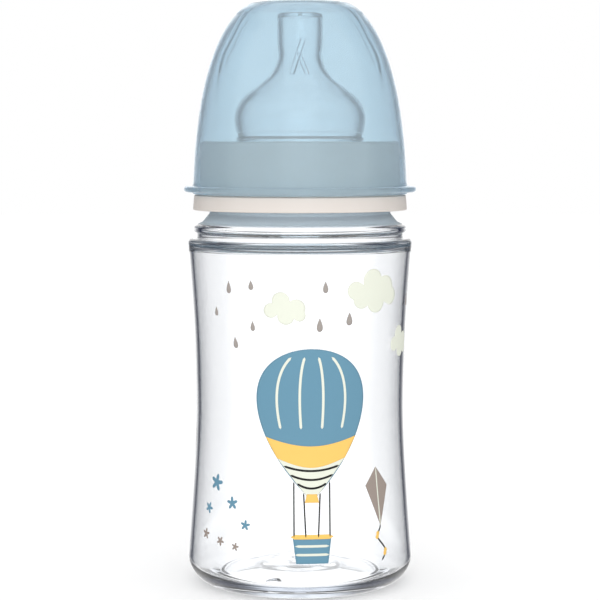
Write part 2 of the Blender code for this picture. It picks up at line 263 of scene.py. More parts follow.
# %% The waisted wall
def body_radius(height):
    """A hyperbola whose narrowest point is the waist:
    waist + slope (sqrt(distance^2 + softness^2) - softness)."""
    low = height < WAIST_HEIGHT
    reach = np.where(low, WAIST_HEIGHT - HEEL_ROUND, SHOULDER_HEIGHT - WAIST_HEIGHT)
    flare = np.where(low, FOOT_RADIUS, SHOULDER_RADIUS) - WAIST_RADIUS
    soft = np.where(low, FOOT_SOFTNESS, SHOULDER_SOFTNESS)
    slope = flare / (np.hypot(reach, soft) - soft)
    return WAIST_RADIUS + slope * (np.hypot(height - WAIST_HEIGHT, soft) - soft)


def body_wall(inset, low, high, rows):
    """Corners up the waisted wall, with no rounding of their own."""
    heights = np.linspace(low, high, rows)
    return [(radius - inset, height) for radius, height in zip(body_radius(heights), heights)]


def quarter(middle, size, start, end, rows):
    """Corners on an arc of the outline, from one angle in degrees to another."""
    angles = np.radians(np.linspace(start, end, rows))
    return [(middle[0] + size * math.cos(a), middle[1] + size * math.sin(a)) for a in angles]


print("waist", round(float(body_radius(WAIST_HEIGHT)) / MM, 2), "mm, foot", FOOT_RADIUS / MM, "mm")

# %% The bottle's outline
BASE_WALL = 3.2 * MM
INNER_HEEL_ROUND = 5.0 * MM
PUNT_HEIGHT = 4.0 * MM
FLOOR_FLAT_ROUND = 20 * MM
WALL_ROWS = 62
GROOVE_RADIUS = SHOULDER_RADIUS - 2.6 * MM
BEAD_RADIUS = GROOVE_RADIUS + 0.9 * MM
SHOULDER_ROUND = 1.4 * MM
SHOULDER_TOP = SHOULDER_HEIGHT + SHOULDER_ROUND
BEAD_BOTTOM = SHOULDER_TOP + 1.4 * MM


def bottle_outline():
    """From the inner floor's middle, up the inside, over the rim and down the outside to the foot's
    middle."""
    heel_top = BASE_WALL + INNER_HEEL_ROUND
    floor_radius = float(body_radius(heel_top)) - BODY_WALL - INNER_HEEL_ROUND
    groove_bore = GROOVE_RADIUS - BODY_WALL
    inside_top = SHOULDER_TOP - BODY_WALL
    floor = [
        (0.0, BASE_WALL + PUNT_HEIGHT),
        (0.5 * floor_radius, BASE_WALL + 0.74 * PUNT_HEIGHT, FLOOR_FLAT_ROUND),
        (floor_radius - 0.8 * MM, BASE_WALL, 1.0 * MM),
    ]
    inner_heel = quarter((floor_radius, heel_top), INNER_HEEL_ROUND, -90, 0, 15)[1:]
    inner_wall = body_wall(BODY_WALL, heel_top, inside_top - BODY_WALL, WALL_ROWS)[1:]
    inner_neck = [
        (groove_bore, inside_top, 0.5 * MM),
        (groove_bore, CONE_BOTTOM, 1.2 * MM),
        (NECK_BORE, CONE_TOP - 0.95 * MM, 1.0 * MM),
        (NECK_BORE, RIM, 0.5 * MM),
    ]
    outer_neck = [
        (NECK_RADIUS, RIM, 0.5 * MM),
        (NECK_RADIUS, CONE_TOP, 0.6 * MM),
        (NECK_RADIUS + 2.1 * MM, CONE_BOTTOM + 1.1 * MM, 0.6 * MM),
        (BEAD_RADIUS, CONE_BOTTOM, 0.9 * MM),
        (BEAD_RADIUS, BEAD_BOTTOM + 0.6 * MM, 0.8 * MM),
        (GROOVE_RADIUS, BEAD_BOTTOM, 0.4 * MM),
        (GROOVE_RADIUS, SHOULDER_TOP, 0.4 * MM),
        (SHOULDER_RADIUS - SHOULDER_ROUND, SHOULDER_TOP),
    ]
    shoulder = quarter((SHOULDER_RADIUS - SHOULDER_ROUND, SHOULDER_HEIGHT), SHOULDER_ROUND, 90, 0, 8)[1:]
    outer_wall = body_wall(0.0, SHOULDER_HEIGHT, HEEL_ROUND, WALL_ROWS)[1:]
    heel = quarter((FOOT_RADIUS - HEEL_ROUND, HEEL_ROUND), HEEL_ROUND, 0, -90, 15)[1:]
    foot_edge = FOOT_RADIUS - HEEL_ROUND - 1.8 * MM
    foot = [
        (foot_edge, 0.0, 0.6 * MM),
        (foot_edge - 1.0 * MM, 1.0 * MM, 0.8 * MM),
        (0.5 * foot_edge, 0.85 * PUNT_HEIGHT, FLOOR_FLAT_ROUND),
        (0.0, PUNT_HEIGHT),
    ]
    inner = floor + inner_heel + inner_wall + inner_neck
    return rounded(inner + outer_neck + shoulder + outer_wall + heel + foot)


outline = bottle_outline()
print("the bottle's outline has", len(outline), "points")

# %% [markdown]
# ## The screw thread
# The ring's thread and the neck's thread are the same right-hand helix, half a lead apart in height.
# A helix could be a swept solid joined by a Boolean, but on a grid it is only a band of higher radius.

# %% Thread as a height on the grid
THREAD_LEAD = 4.5 * MM
THREAD_DEPTH = 1.1 * MM
THREAD_START = CONE_TOP + 5.0 * MM
THREAD_RUNOUT = math.radians(24)


def thread(angle, height, first_height, first_angle, turns):
    """Ridge height: a trapezoid across the helix height = start + lead x turns, fading out at both ends."""
    ridge = np.zeros_like(height)
    for lap in range(3):
        along = angle + 2 * math.pi * lap - first_angle
        middle = first_height + THREAD_LEAD * (along + first_angle) / (2 * math.pi)
        across = blend(np.abs(height - middle), 1.0 * MM, 0.45 * MM)
        length = 2 * math.pi * turns
        fade = np.clip(np.minimum(along, length - along) / THREAD_RUNOUT, 0.0, 1.0)
        ridge = np.maximum(ridge, THREAD_DEPTH * np.clip(across, 0, 1) * fade)
    return ridge


def dense_between(outline, low, high, step, where):
    """Adds rows between two heights on the part of the outline that the test picks out."""
    points = [outline[:1]]
    for start, end in zip(outline, outline[1:]):
        count = 0
        if where(start) and where(end) and low < 0.5 * (start[1] + end[1]) < high:
            count = int(np.linalg.norm(end - start) / step)
        points.append(start + (np.arange(1, count + 2) / (count + 1))[:, None] * (end - start))
    return np.concatenate(points)


# %% The bottle's mesh
THREAD_ROW = 0.25 * MM
THREAD_LOW, THREAD_HIGH = CONE_TOP + 1 * MM, RIM - 1 * MM
DIMPLE = (-7.4 * MM, -20.4 * MM)
DIMPLE_DEPTH = 0.6 * MM
RIPPLE = 0.10 * MM
RIPPLE_WAVE = 1.25 * MM


def on_the_neck(spot):
    return spot[0] > NECK_RADIUS - 0.1 * MM


outline = dense_between(outline, THREAD_LOW, THREAD_HIGH, THREAD_ROW, on_the_neck)
radius, angle, height = turned(outline, 240)
outer = np.arange(len(outline)) > np.argmax(outline[:, 1])
neck_rows = (outer & (outline[:, 1] > THREAD_LOW) & (outline[:, 1] < THREAD_HIGH))[:, None]
radius = radius + neck_rows * thread(angle, height, THREAD_START, 0.0, 1.5)
dimple = np.hypot(radius * np.cos(angle) - DIMPLE[0], radius * np.sin(angle) - DIMPLE[1])
under_foot = outer[:, None] & (height < 4 * MM) & (radius < FOOT_RADIUS - HEEL_ROUND)
height = height + under_foot * DIMPLE_DEPTH * (1 - blend(dimple, 1.2 * MM, 2.6 * MM))
on_floor = ~outer[:, None] & (radius < 14 * MM)
ripple = RIPPLE * np.cos(radius / RIPPLE_WAVE) * (1 - blend(radius, 2 * MM, 9 * MM))
height = height + on_floor * ripple
bottle = make_piece("clear_bottle", [placed(radius, angle, height)], "bottle", "bottle")

# %% [markdown]
# ## The teat
# A teat is one piece of liquid silicone, moulded over a core, so its wall is about as thick everywhere.
# Its outline is a smooth curve through a few bends, and the inside is the same curve moved in.
# Two slanted ribs on its neck, one in front and one behind, keep it from folding shut.

# %% The teat's outline
RING_TOP = RING_HIGH.z
TIP = TEAT_HIGH.z
NIPPLE_RADIUS = 6.6 * MM
BULB_RADIUS = 19.1 * MM
HOLD_RADIUS = 18.1 * MM
FLANGE_RADIUS = 25.9 * MM
FEED_HOLE = 0.4 * MM
SPAN_POINTS = 9
HIDDEN_POINTS = 5
TEAT_BENDS = (
    (NIPPLE_RADIUS, TIP - 2.2 * MM),
    (NIPPLE_RADIUS + 0.05 * MM, TIP - 5.0 * MM),
    (NIPPLE_RADIUS - 0.1 * MM, TIP - 9.5 * MM),
    (NIPPLE_RADIUS - 0.3 * MM, TIP - 12.8 * MM),
    (NIPPLE_RADIUS + 0.6 * MM, TIP - 15.8 * MM),
    (NIPPLE_RADIUS + 2.5 * MM, TIP - 18.6 * MM),
    (0.65 * BULB_RADIUS, TIP - 21.4 * MM),
    (0.84 * BULB_RADIUS, TIP - 24.1 * MM),
    (0.95 * BULB_RADIUS, TIP - 27.0 * MM),
    (BULB_RADIUS, TIP - 30.6 * MM),
    (0.5 * (BULB_RADIUS + HOLD_RADIUS), RING_TOP + 3.0 * MM),
    (HOLD_RADIUS - 0.1 * MM, RING_TOP + 1.5 * MM),
)
slope = smooth_through(TEAT_BENDS, SPAN_POINTS)
slope_wall = 1.1 * MM + 0.5 * MM * blend(slope[:, 0], 8 * MM, 17 * MM)
inner_slope = moved_in(slope[:-HIDDEN_POINTS], slope_wall[:-HIDDEN_POINTS])[::-1]
print("the teat is", round((TIP - TEAT_LOW.z) / MM, 1), "mm tall")

# %% The teat's mesh
tip = [
    (FEED_HOLE, TIP - 0.15 * MM),
    (FEED_HOLE + 0.3 * MM, TIP, 0.15 * MM),
    (NIPPLE_RADIUS, TIP, 1.0 * MM),
]
hold = [
    (HOLD_RADIUS + 0.55 * MM, RING_TOP + 0.95 * MM, 0.25 * MM),
    (HOLD_RADIUS + 0.45 * MM, RING_TOP + 0.3 * MM, 0.15 * MM),
    (HOLD_RADIUS, RING_TOP + 0.3 * MM, 0.1 * MM),
    (HOLD_RADIUS, TEAT_LOW.z + 2.0 * MM, 0.3 * MM),
    (FLANGE_RADIUS, TEAT_LOW.z + 2.0 * MM, 0.5 * MM),
    (FLANGE_RADIUS, TEAT_LOW.z, 0.5 * MM),
    (HOLD_RADIUS - 1.4 * MM, TEAT_LOW.z, 0.8 * MM),
    (HOLD_RADIUS - 1.5 * MM, RING_TOP + 0.5 * MM, 0.5 * MM),
]
ceiling = [(NIPPLE_RADIUS - 1.1 * MM, TIP - 1.2 * MM, 0.8 * MM), (FEED_HOLE, TIP - 1.2 * MM)]
corners = tip + [tuple(spot) for spot in slope] + hold + [tuple(spot) for spot in inner_slope] + ceiling
teat_outline = rounded(corners, step=0.9 * MM)
radius, angle, height = turned(teat_outline, 280)
outer = (np.arange(len(teat_outline)) < np.argmax(teat_outline[:, 0]))[:, None]


def rib(around, height, start, end, half_width):
    """A raised bar with round ends: how near a point of the wall is to the line from start to end."""
    start, end = np.array(start), np.array(end)
    along = end - start
    share = ((around - start[0]) * along[0] + (height - start[1]) * along[1]) / (along @ along)
    share = np.clip(share, 0.0, 1.0)
    away = np.hypot(around - start[0] - share * along[0], height - start[1] - share * along[1])
    return 1 - blend(away, 0.55 * half_width, half_width)


def around_from(radius, angle, facing):
    """Distance round the teat from one side of it: radius times an angle of at most half a turn."""
    return radius * ((angle - facing + math.pi) % (2 * math.pi) - math.pi)


front = around_from(radius, angle, -0.5 * math.pi)
back = around_from(radius, angle, 0.5 * math.pi)
RIB_FOOT = -2.2 * MM, TIP - 17.6 * MM
RIB_HEADS = (0.8 * MM, TIP - 8.2 * MM), (0.2 * MM, TIP - 12.0 * MM)
RIB_HEIGHT = 0.7 * MM
RIB_HALF_WIDTH = 0.8 * MM
ribs = 0.0
for side, head in zip((front, back), RIB_HEADS):
    ribs = ribs + rib(side, height, RIB_FOOT, head, RIB_HALF_WIDTH)
radius = radius + outer * RIB_HEIGHT * ribs
teat = make_piece("silicone_teat", [placed(radius, angle, height)], "teat", "teat", True)

# %% [markdown]
# ## The screw ring
# The ring is an opaque moulding that clamps the teat's flange on the rim.
# Its upper part hides under the cap and its lower band stays in sight, a little narrower than the cap.

# %% The ring's mesh
RING_BORE = NECK_RADIUS + THREAD_DEPTH + 0.3 * MM
RING_OUTSIDE = RING_BORE + 1.2 * MM
RING_BAND_TOP = RING_LOW.z + 4.3 * MM
RING_BAND_RADIUS = RING_HIGH.x
RING_WEB = 1.6 * MM
RING_HOLE = HOLD_RADIUS + 0.3 * MM
ring_corners = [
    (RING_HOLE, RING_TOP - 0.5 * RING_WEB),
    (RING_HOLE, RING_TOP, 0.4 * MM),
    (RING_OUTSIDE, RING_TOP, 0.7 * MM),
    (RING_OUTSIDE + 0.4 * MM, RING_BAND_TOP, 0.3 * MM),
    (RING_BAND_RADIUS - 0.35 * MM, RING_BAND_TOP, 0.35 * MM),
    (RING_BAND_RADIUS, RING_LOW.z, 0.35 * MM),
    (RING_BORE, RING_LOW.z, 0.35 * MM),
    (RING_BORE, RING_TOP - RING_WEB, 0.4 * MM),
    (RING_HOLE, RING_TOP - RING_WEB, 0.3 * MM),
    (RING_HOLE, RING_TOP - 0.55 * RING_WEB),
]
ring_outline = rounded(ring_corners, step=1.0 * MM)


def in_the_bore(spot):
    return abs(spot[0] - RING_BORE) < 0.1 * MM


ring_outline = dense_between(ring_outline, RING_LOW.z + 1 * MM, RING_TOP - 2 * MM, THREAD_ROW, in_the_bore)
radius, angle, height = turned(ring_outline, 240)
bore_rows = (np.abs(ring_outline[:, 0] - RING_BORE) < 0.1 * MM)[:, None]
bore_rows = bore_rows & (height > RING_LOW.z + 0.6 * MM) & (height < RING_TOP - RING_WEB - 0.6 * MM)
ring_start = THREAD_START - 0.5 * THREAD_LEAD
radius = radius - bore_rows * thread(angle, height, ring_start, math.radians(60), 1.25)
ring_grid = placed(radius, angle, height)
ring = make_piece("collar", [ring_grid], "screw_ring", "screw_ring", True)

# %% [markdown]
# ## The cap
# The cap is a thin translucent dome that clicks over the ring, with a lip to lift it by.
# A shallow grip panel is pressed into each side. It only moves the wall in by a fraction of a
# millimetre, so it is one more change of radius on the grid, on both faces of the wall.

# %% The dome's curve
CAP_WALL = 1.2 * MM
CAP_TOP = CAP_HIGH.z
LIP_RADIUS = CAP_HIGH.x
LIP_THICKNESS = 1.7 * MM
LIP_BOTTOM = CAP_LOW.z + 0.6 * MM
DOME_START = LIP_BOTTOM + LIP_THICKNESS
DOME_APEX = CAP_TOP + 1.2 * MM
CAP_DRAFT = 0.0326
DOME_DROOP = 2.15
DOME_SHOULDER = 3.71


def dome_factor(height, apex):
    """How much of its full radius the dome keeps: (1 - t^droop)^(1 / shoulder)."""
    t = np.clip((height - DOME_START) / (apex - DOME_START), 0.0, 1.0)
    return (1.0 - t**DOME_DROOP) ** (1.0 / DOME_SHOULDER)


INSIDE = (RING_OUTSIDE + 0.3 * MM) / dome_factor(RING_TOP, DOME_APEX - CAP_WALL)
CAP_BASE = INSIDE + CAP_WALL + CAP_DRAFT * (RING_TOP - DOME_START)


def dome(inset, rows):
    """The dome from its flat crown down to the lip, moved in by the wall."""
    top = CAP_TOP - inset
    low = DOME_START + (top - 0.6 * MM - DOME_START) * np.cos(0.5 * math.pi * np.linspace(0.0, 1.0, rows))
    straight = CAP_BASE - CAP_DRAFT * (low - DOME_START) - inset
    wall = np.stack([straight * dome_factor(low, DOME_APEX - inset), low], axis=1)
    crown = smooth_through([(0.0, top), (5 * MM, top), (0.74 * wall[0, 0], top - 0.02 * MM), wall[0]], 5)
    return np.concatenate([crown[:-1], wall])


outside, inside = dome(0.0, 100), dome(CAP_WALL, 84)[::-1]
print("the cap's base radius is", round(CAP_BASE / MM, 2), "mm")

# %% The cap's mesh
PANEL_DEPTH = 0.3 * MM
PANEL_WIDTHS = MM * np.array(
    [
        (0.0, 9.0), (8.0, 9.2), (13.0, 15.0), (17.0, 16.5),
        (25.0, 15.3), (36.0, 12.4), (43.0, 12.2), (50.0, 9.5),
    ]
)
lip_corners = [
    (CAP_BASE, DOME_START, 0.5 * MM),
    (LIP_RADIUS, DOME_START, 0.84 * MM),
    (LIP_RADIUS, LIP_BOTTOM, 0.84 * MM),
    (CAP_BASE, LIP_BOTTOM, 0.2 * MM),
    (CAP_BASE, CAP_LOW.z, 0.25 * MM),
    (CAP_BASE - CAP_WALL, CAP_LOW.z, 0.25 * MM),
]
edge = rounded([tuple(outside[-2])] + lip_corners + [tuple(inside[1])], step=0.9 * MM)[1:-1]
cap_outline = np.concatenate([outside[:-1], edge, inside[1:]])
radius, angle, height = turned(cap_outline, 360)
panel_curve = smooth_through(PANEL_WIDTHS, 8)
half = np.interp(height - DOME_START, panel_curve[:, 0], panel_curve[:, 1], right=0.0)
away = half - np.abs(radius * np.sin(angle))
ends = blend(height, DOME_START + 0.4 * MM, DOME_START + 1.2 * MM)
ends = ends * (1 - blend(height, DOME_START + 49.4 * MM, DOME_START + 50.2 * MM))
low_down = 1 - blend(height, DOME_START + 24 * MM, DOME_START + 44 * MM)
soft = 0.35 * MM + 1.8 * MM * low_down
panel = blend(away, -0.8 * soft, soft) * ends
lining = (np.arange(len(cap_outline)) > np.argmin(cap_outline[:, 1]))[:, None]
above_ring = blend(height, RING_TOP + 0.5 * MM, RING_TOP + 2.0 * MM)
radius = radius - PANEL_DEPTH * (1 - 0.55 * low_down) * panel * np.where(lining, above_ring, 1.0)
cap = make_piece("dome_cap", [placed(radius, angle, height)], "cap", "cap")

# %% [markdown]
# ## The printed picture
# The front carries a screen-printed picture: a balloon in the rain. Each ink is a film a few
# hundredths of a millimetre thick. It could be an image, but a film with its own edge stays sharp at
# any distance, so each shape is a thin closed slab bent round the bottle, and each ink is one piece.
# Distances in the print are in millimetres, across along the wall from the middle of the front, and up
# from the foot.

# %% Shapes on the wall
PRINT_RADIUS = 31.0 * MM
FILM = 0.03 * MM
FIRST_LIFT = 0.02
LAYER_LIFT = 0.04
FACET = 0.9 * MM


def on_the_wall(flat, lift):
    """Bends flat points (across, up) round the bottle, this far off its wall: azimuth = across / radius."""
    across, up = flat[..., 0] / PRINT_RADIUS, flat[..., 1]
    radius = body_radius(up) + lift
    return np.stack([radius * np.sin(across), -radius * np.cos(across), up], axis=-1)


def close_steps(rim, step=0.8):
    """The same closed outline with more points: its own corners, and one at every step of its length."""
    closed = np.concatenate([rim, rim[:1]])
    length = np.append(0.0, np.cumsum(np.linalg.norm(np.diff(closed, axis=0), axis=1)))
    steps = np.arange(0.0, length[-1] - 0.3 * step, step)
    places = np.unique(np.concatenate([length[:-1], steps]).round(6))
    return np.stack([np.interp(places, length, closed[:, axis]) for axis in range(2)], axis=1)


def patch(rim, layer, middle=None):
    """A slab inside a closed outline: rings of points that shrink the outline to its middle, below and
    above. Its facets stay under a millimetre, because a wider one would cut into the round wall."""
    rim = close_steps(np.asarray(rim, float)) * MM
    middle = rim.mean(axis=0) if middle is None else np.array(middle) * MM
    rings = max(3, math.ceil(np.linalg.norm(rim - middle, axis=1).max() / FACET))
    share = np.linspace(0.0, 1.0, rings + 1)[:, None, None]
    flat = middle + share * (rim[None] - middle)
    low = (FIRST_LIFT + LAYER_LIFT * layer) * MM
    return np.concatenate([on_the_wall(flat, low), on_the_wall(flat[::-1], low + FILM)])


def stroke(path, width, layer):
    """A slab along a line: eight points round a flat section at each step, and rounded ends."""
    path = np.asarray(path, float) * MM
    along = np.gradient(path, axis=0)
    side = np.stack([-along[:, 1], along[:, 0]], axis=1) / np.linalg.norm(along, axis=1, keepdims=True)
    share = np.linspace(0.0, 1.0, len(path))
    ends = np.minimum(share, 1 - share) * np.linalg.norm(along, axis=1).sum() / (0.5 * width * MM)
    round_end = np.sqrt(np.clip(1 - (1 - np.clip(ends, 0, 1)) ** 2, 0.0004, 1))
    half = 0.5 * width * MM * round_end
    across = np.array([-1, -0.9, 0, 0.9, 1, 0.9, 0, -0.9])
    top = np.array([0.5, 0, 0, 0, 0.5, 1, 1, 1])
    flat = path[:, None] + side[:, None] * (half[:, None] * across)[..., None]
    low = (FIRST_LIFT + LAYER_LIFT * layer) * MM
    rows = on_the_wall(flat, low + FILM * top[None, :])
    return np.concatenate([rows[:1], rows, rows[-1:]])


def loop(count=64):
    return np.linspace(0.0, 2 * math.pi, count, endpoint=False)


def drop(middle, width, length, point=1.5, lean=0.0, count=64):
    """A drop: half width sin t sin(t/2)^point, height cos t. It is pointed at the top, or at the bottom
    if the length is negative."""
    t = loop(count)
    across = 0.5 * width * np.sin(t) * np.sin(0.5 * t) ** point / 0.77
    up = 0.5 * length * np.cos(t)
    return np.stack([middle[0] + across + lean * up, middle[1] + up], axis=1)


def cloud(middle, lobes, count=160):
    """The outer edge of overlapping discs, seen from the middle: the farthest point of any disc in each
    direction."""
    t = loop(count)
    aim = np.stack([np.cos(t), np.sin(t)], axis=1)
    reach = np.full(count, 0.1)
    for x, y, size in lobes:
        along = aim @ np.array([x, y])
        inside = size**2 - (x * x + y * y - along**2)
        far = along + np.sqrt(np.maximum(inside, 0))
        reach = np.where(inside > 0, np.maximum(reach, far), reach)
    return np.array(middle) + reach[:, None] * aim


def star(middle, size, turn=0.0, points=5):
    """A star with soft points: radius size (1 + 0.34 cos(points x angle)), a little sharpened."""
    t = loop(60)
    reach = size * (0.66 + 0.34 * np.cos(points * t)) ** 0.8
    return np.array(middle) + np.stack([reach * np.sin(t + turn), reach * np.cos(t + turn)], axis=1)


# %% The balloon
BALLOON = (3.3, 50.3)
BALLOON_WIDTH, BALLOON_LENGTH = 32.5, 43.0
BALLOON_POINT = 1.05


def balloon_half(up):
    """Half width of the envelope at a height, read from its drop shape."""
    edge = drop(BALLOON, BALLOON_WIDTH, -BALLOON_LENGTH, BALLOON_POINT, count=400)
    right = edge[edge[:, 0] > BALLOON[0]]
    right = right[np.argsort(right[:, 1])]
    return np.interp(up, right[:, 1], right[:, 0]) - BALLOON[0]


def belt(low, high, sag, count=40):
    """A band of the envelope between two heights, whose edges sag in the middle like a hanging cloth."""
    share = np.linspace(-1.0, 1.0, count)
    upper = np.stack([share, high - sag * (1 - share**2)], axis=1)
    lower = np.stack([share[::-1], low - sag * (1 - share[::-1] ** 2)], axis=1)
    rim = np.concatenate([upper, lower])
    rim[:, 0] = BALLOON[0] + rim[:, 0] * balloon_half(rim[:, 1])
    return rim


def meridian(share, low, high, count=40):
    """A seam of the envelope: a constant share of its half width from one height to another."""
    up = np.linspace(low, high, count)
    return np.stack([BALLOON[0] + share * balloon_half(up), up], axis=1)


def line(start, end, count=12, sag=0.0):
    share = np.linspace(0.0, 1.0, count)[:, None]
    path = np.array(start) + share * (np.array(end) - np.array(start))
    path[:, 1] -= (4 * sag * share * (1 - share))[:, 0]
    return path


BASKET_TOP, BASKET_LOW = 19.0, 11.5
envelope = drop(BALLOON, BALLOON_WIDTH, -BALLOON_LENGTH, BALLOON_POINT, count=120)
blue_shapes = [
    patch(envelope, 0, (BALLOON[0], 54.0)),
    patch([(-2.0, BASKET_TOP), (8.6, BASKET_TOP), (7.6, BASKET_LOW), (-1.0, BASKET_LOW)], 0),
]
mouth_skirt = [(1.9, 31.0), (4.7, 31.0), (5.3, 28.6), (1.3, 28.6)]
yellow_shapes = [patch(belt(41.0, 47.0, 2.6), 2, (BALLOON[0], 41.8)), patch(mouth_skirt, 2)]
cream_shapes = [patch(belt(31.0, 41.6, 1.8), 1, (BALLOON[0], 35.0))]
black_shapes = []
for up in (38.9, 36.4, 34.0):
    reach = balloon_half(up) - 0.4
    left, right = BALLOON[0] - reach, BALLOON[0] + reach
    black_shapes.append(stroke(line((left, up), (right, up), 24, 1.4), 0.6, 2))
for side in (-1, 1):
    for up, low_reach in ((34.6, 4.9), (31.4, 1.7)):
        start = (BALLOON[0] + side * balloon_half(up), up)
        end = (BALLOON[0] + side * low_reach, BASKET_TOP - 0.2)
        black_shapes.append(stroke(line(start, end, 24), 0.4, 1))
yellow_shapes.append(stroke(line((-2.6, BASKET_TOP), (9.2, BASKET_TOP)), 1.3, 1))
SEAMS = (-0.62, -0.21, 0.21, 0.62)
cream_shapes += [stroke(meridian(share, 49.2, 69.5), 0.75, 1) for share in SEAMS]
cream_shapes += [stroke(line((-1.4, z), (8.0, z)), 0.7, 1) for z in (16.4, 14.0)]
print("balloon", BALLOON_WIDTH, "mm wide and", BALLOON_LENGTH, "mm tall")

# %% Clouds and rain
GREAT_CLOUD = (
    (0, 3.6, 3.3), (-5.6, 0.9, 2.6), (-3.6, -1.6, 2.7),
    (4.8, 1.4, 3.5), (7.4, -1.0, 2.6), (1.5, -2.4, 3.2),
)
SMALL_CLOUD = ((-0.8, 2.3, 2.5), (-3.6, -0.4, 2.1), (3.4, 0.2, 2.6), (4.4, -1.8, 1.7), (0.6, -2.0, 2.4))
CLOUDS = (((21.6, 87.0), GREAT_CLOUD), ((-4.5, 83.0), SMALL_CLOUD), ((36.5, 72.2), SMALL_CLOUD))
cream_shapes += [patch(cloud(middle, lobes), 0, middle) for middle, lobes in CLOUDS]
RAIN = (
    (-21.1, 88.8, 1.7, 3.6, 0.02), (-13.8, 89.6, 1.6, 2.8, 0.0), (-26.4, 81.7, 1.5, 2.7, 0.03),
    (-13.6, 78.1, 1.5, 2.9, -0.03), (-19.4, 73.2, 1.7, 3.3, -0.10), (7.0, 89.2, 1.6, 3.4, -0.02),
    (5.5, 78.6, 1.9, 4.0, 0.0), (14.2, 80.1, 2.0, 3.8, 0.0), (41.5, 84.0, 1.6, 3.6, 0.0),
)
rain_shapes = [patch(drop((x, z), width, length, 1.5, lean), 0) for x, z, width, length, lean in RAIN]
print(len(CLOUDS), "clouds and", len(RAIN), "drops")

# %% Kite and stars
KITE = ((23.6, 37.5), (28.2, 31.8), (24.6, 20.5), (19.6, 32.4))
kite_edge = np.concatenate([line(a, b, 10)[:-1] for a, b in zip(KITE, KITE[1:] + KITE[:1])])
taupe_shapes = [patch(kite_edge, 0, (24.0, 31.5))]
TAIL_ACROSS, TAIL_TOP, TAIL_END = 24.5, 20.8, 10.6
tail_up = np.linspace(TAIL_TOP, TAIL_END, 40)
swing = 1.5 * np.sin((TAIL_TOP - tail_up) * 0.62) * blend(tail_up, 21.5, 17.0)
black_shapes.append(stroke(np.stack([TAIL_ACROSS - swing, tail_up], axis=1), 0.5, 1))
BOWS = ((-1.3, 18.0), (1.4, 13.0))
yellow_shapes += [patch(star((TAIL_ACROSS + dx, z), 1.15, 0.3, 2), 2) for dx, z in BOWS]
cream_shapes.append(stroke(line(KITE[0], KITE[2]), 0.4, 1))
BLUE_STARS = (
    (-26.6, 32.6, 2.5, 0.2), (-20.2, 27.4, 1.9, -0.1),
    (-29.6, 25.0, 1.7, 0.4), (-15.6, 21.6, 1.5, 0.1),
)
TAUPE_STARS = ((-30.4, 17.4, 1.6, 0.1), (-24.0, 16.2, 1.4, 0.5), (-18.6, 15.2, 1.2, 0.2))
for shapes, stars in ((blue_shapes, BLUE_STARS), (taupe_shapes, TAUPE_STARS)):
    shapes += [patch(star((x, z), size, turn), 0) for x, z, size, turn in stars]
print(len(BLUE_STARS) + len(TAUPE_STARS), "stars")

# %% One piece for each ink
INKS = {
    "blue": blue_shapes, "yellow": yellow_shapes, "cream": cream_shapes,
    "taupe": taupe_shapes, "rain": rain_shapes, "black": black_shapes,
}
prints = {}
for ink, shapes in INKS.items():
    prints[ink] = make_piece("print_" + ink, shapes, "bottle")

# %% [markdown]
# ## Finishes
# A finish is a short program of nodes. Written as nodes it is long, so a small class wraps a socket,
# and ordinary arithmetic on it adds the Math nodes. One method adds any other node.


# %% Shader maths
class Signal:
    """One output socket. Sums, differences and products of it add Math nodes."""

    def __init__(self, finish, socket):
        self.finish = finish
        self.socket = socket

    def math(self, operation, *values):
        return self.finish.node("ShaderNodeMath", {"operation": operation}, *values)

    def __add__(self, other):
        return self.math("ADD", self, other)

    def __sub__(self, other):
        return self.math("SUBTRACT", self, other)

    def __rsub__(self, other):
        return self.math("SUBTRACT", other, self)

    def __mul__(self, other):
        return self.math("MULTIPLY", self, other)

    __radd__ = __add__
    __rmul__ = __mul__

    def between(self, low, high):
        """0 at low and 1 at high, eased, and flat outside them."""
        settings = {"interpolation_type": "SMOOTHSTEP"}
        return self.finish.node("ShaderNodeMapRange", settings, self, low, high, 0.0, 1.0)

    def mixed(self, first, second):
        """The first colour where this is 0, and the second where it is 1."""
        settings = {"data_type": "RGBA"}
        inputs = {"Factor": self, 6: (*first, 1.0), 7: (*second, 1.0)}
        return self.finish.node("ShaderNodeMix", settings, inputs=inputs, output=2)


